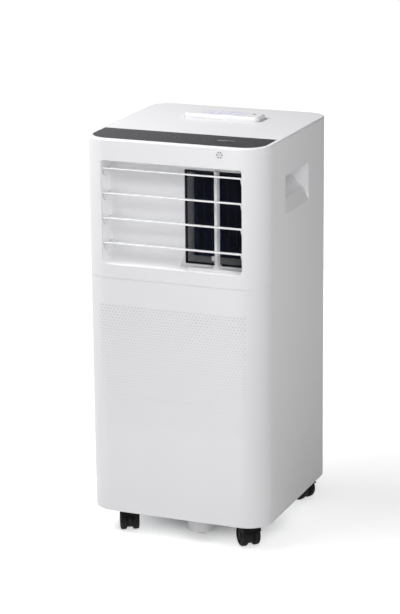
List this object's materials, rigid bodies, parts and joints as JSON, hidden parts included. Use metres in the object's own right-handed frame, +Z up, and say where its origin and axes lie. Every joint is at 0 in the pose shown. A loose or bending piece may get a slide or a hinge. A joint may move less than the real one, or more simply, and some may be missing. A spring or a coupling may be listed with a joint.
{
  "type": "portable air conditioner",
  "caption": "Tall rounded white box on black twin-wheel castors that draws room air in at the rear, cools it and blows it out of a slatted front window.",
  "frame": {"origin": "on the floor, under the middle of the overall box", "axes": "+Z up, -Y towards the front with the air outlet, +X to the right seen from the front"},
  "size_m": [0.328, 0.33, 0.713],
  "materials": {
    "casing": "satin moulded white",
    "remote": "satin white",
    "keypad": "matte off-white",
    "glossy_strip": "dark grey, glossy",
    "dark_mesh": "black",
    "navy_vane": "dark blue",
    "inner_plastic": "light grey moulding",
    "castor_black": "black",
    "rubber": "black",
    "sheet_steel": "zinc grey",
    "motor_steel": "plain steel",
    "screw_steel": "zinc plated",
    "black_paint": "black paint",
    "fins": "bright fins",
    "copper": "copper pipe",
    "board": "green board",
    "filter_mesh": "woven screen in a frame"
  },
  "bodies": {
    "cabinet": {"front_panel_upper": "casing", "front_panel_lower": "casing", "side_panel_left": "casing", "side_panel_right": "casing", "rear_panel": "casing", "top_cover": "casing", "louvre_frame": "casing", "slat_rib": "casing", "lower_grille": "casing", "exhaust_collar": "casing", "drain_spout": "casing", "control_strip": "glossy_strip", "safety_mesh": "dark_mesh", "guide_vanes": "navy_vane", "upper_scroll": "inner_plastic", "lower_scroll": "inner_plastic", "drain_tray": "inner_plastic", "room_sensor": "inner_plastic", "compressor_grommets": "rubber", "cord_gland": "rubber", "base_pan": "sheet_steel", "electrical_box": "sheet_steel", "swing_motor": "motor_steel", "upper_motor": "motor_steel", "lower_motor": "motor_steel", "splash_motor": "motor_steel", "run_capacitor": "motor_steel", "grille_screws": "screw_steel", "compressor": "black_paint", "accumulator": "black_paint", "evaporator": "fins", "condenser": "fins", "refrigerant_pipes": "copper", "main_board": "board", "display_board": "board"},
    "slat_1": {"slat_1": "casing"},
    "slat_2": {"slat_2": "casing"},
    "slat_3": {"slat_3": "casing"},
    "slat_4": {"slat_4": "casing"},
    "slat_link": {"slat_link": "inner_plastic"},
    "swing_crank": {"swing_crank": "inner_plastic"},
    "upper_wheel": {"upper_wheel": "inner_plastic"},
    "lower_wheel": {"lower_wheel": "inner_plastic"},
    "splash_wheel": {"splash_wheel": "inner_plastic"},
    "upper_intake": {"upper_grille": "casing", "upper_filter": "filter_mesh"},
    "remote": {"remote_case": "remote", "remote_back": "remote", "remote_keypad": "keypad"},
    "drain_cap": {"drain_cap": "rubber"},
    "tray_plug": {"tray_plug": "casing"},
    "castor_front_left": {"castor_fork_front_left": "castor_black"},
    "wheels_front_left": {"castor_wheels_front_left": "castor_black"},
    "castor_front_right": {"castor_fork_front_right": "castor_black"},
    "wheels_front_right": {"castor_wheels_front_right": "castor_black"},
    "castor_rear_left": {"castor_fork_rear_left": "castor_black"},
    "wheels_rear_left": {"castor_wheels_rear_left": "castor_black"},
    "castor_rear_right": {"castor_fork_rear_right": "castor_black"},
    "wheels_rear_right": {"castor_wheels_rear_right": "castor_black"}
  },
  "joints": [
    {"name": "slat_1_tilt", "type": "hinge", "parent": "cabinet", "child": "slat_1", "pos_m": [0, -0.152, 0.643], "axis": [1, 0, 0], "range_deg": [-12, 35]},
    {"name": "slat_2_tilt", "type": "hinge", "parent": "cabinet", "child": "slat_2", "pos_m": [0, -0.152, 0.6002], "axis": [1, 0, 0], "range_deg": [-12, 35]},
    {"name": "slat_3_tilt", "type": "hinge", "parent": "cabinet", "child": "slat_3", "pos_m": [0, -0.152, 0.5574], "axis": [1, 0, 0], "range_deg": [-12, 35]},
    {"name": "slat_4_tilt", "type": "hinge", "parent": "cabinet", "child": "slat_4", "pos_m": [0, -0.152, 0.5146], "axis": [1, 0, 0], "range_deg": [-12, 35]},
    {"name": "link_pivot", "type": "hinge", "parent": "slat_1", "child": "slat_link", "pos_m": [-0.1345, -0.142, 0.643], "axis": [1, 0, 0], "range_deg": [-35, 12]},
    {"name": "swing_crank_turn", "type": "hinge", "parent": "cabinet", "child": "swing_crank", "pos_m": [-0.1375, -0.118, 0.5788], "axis": [1, 0, 0], "range_deg": [-12, 35]},
    {"name": "upper_fan_spin", "type": "hinge", "parent": "cabinet", "child": "upper_wheel", "pos_m": [-0.0005, -0.0285, 0.4662], "axis": [0, 1, 0], "continuous": true},
    {"name": "lower_fan_spin", "type": "hinge", "parent": "cabinet", "child": "lower_wheel", "pos_m": [-0.056, 0.0212, 0.185], "axis": [0, 1, 0], "continuous": true},
    {"name": "splash_spin", "type": "hinge", "parent": "cabinet", "child": "splash_wheel", "pos_m": [0.092, 0.053, 0.096], "axis": [0, 1, 0], "continuous": true},
    {"name": "intake_pull", "type": "slide", "parent": "cabinet", "child": "upper_intake", "axis": [0, 1, 0], "range_m": [0, 0.04]},
    {"name": "remote_lift", "type": "slide", "parent": "cabinet", "child": "remote", "axis": [0, 0, 1], "range_m": [0, 0.1]},
    {"name": "drain_cap_pull", "type": "slide", "parent": "cabinet", "child": "drain_cap", "axis": [0, 0, -1], "range_m": [0, 0.014]},
    {"name": "tray_plug_pull", "type": "slide", "parent": "cabinet", "child": "tray_plug", "axis": [0, 1, 0], "range_m": [0, 0.02]},
    {"name": "swivel_front_left", "type": "hinge", "parent": "cabinet", "child": "castor_front_left", "pos_m": [-0.11, -0.1125, 0.048], "axis": [0, 0, 1], "continuous": true},
    {"name": "roll_front_left", "type": "hinge", "parent": "castor_front_left", "child": "wheels_front_left", "pos_m": [-0.10319, -0.1253, 0.019], "axis": [0.8829, 0.4695, 0], "continuous": true},
    {"name": "swivel_front_right", "type": "hinge", "parent": "cabinet", "child": "castor_front_right", "pos_m": [0.11, -0.1125, 0.048], "axis": [0, 0, 1], "continuous": true},
    {"name": "roll_front_right", "type": "hinge", "parent": "castor_front_right", "child": "wheels_front_right", "pos_m": [0.1197, -0.12328, 0.019], "axis": [0.7431, 0.6691, 0], "continuous": true},
    {"name": "swivel_rear_left", "type": "hinge", "parent": "cabinet", "child": "castor_rear_left", "pos_m": [-0.115, 0.1315, 0.048], "axis": [0, 0, 1], "continuous": true},
    {"name": "roll_rear_left", "type": "hinge", "parent": "castor_rear_left", "child": "wheels_rear_left", "pos_m": [-0.10668, 0.11962, 0.019], "axis": [0.8192, 0.5736, 0], "continuous": true},
    {"name": "swivel_rear_right", "type": "hinge", "parent": "cabinet", "child": "castor_rear_right", "pos_m": [0.115, 0.1315, 0.048], "axis": [0, 0, 1], "continuous": true},
    {"name": "roll_rear_right", "type": "hinge", "parent": "castor_rear_right", "child": "wheels_rear_right", "pos_m": [0.12825, 0.1256, 0.019], "axis": [0.4067, 0.9135, 0], "continuous": true}
  ],
  "couplings": [
    {"joint": "slat_2_tilt", "follows": "slat_1_tilt", "ratio": 1},
    {"joint": "slat_3_tilt", "follows": "slat_1_tilt", "ratio": 1},
    {"joint": "slat_4_tilt", "follows": "slat_1_tilt", "ratio": 1},
    {"joint": "link_pivot", "follows": "slat_1_tilt", "ratio": -1},
    {"joint": "swing_crank_turn", "follows": "slat_1_tilt", "ratio": 1}
  ]
}
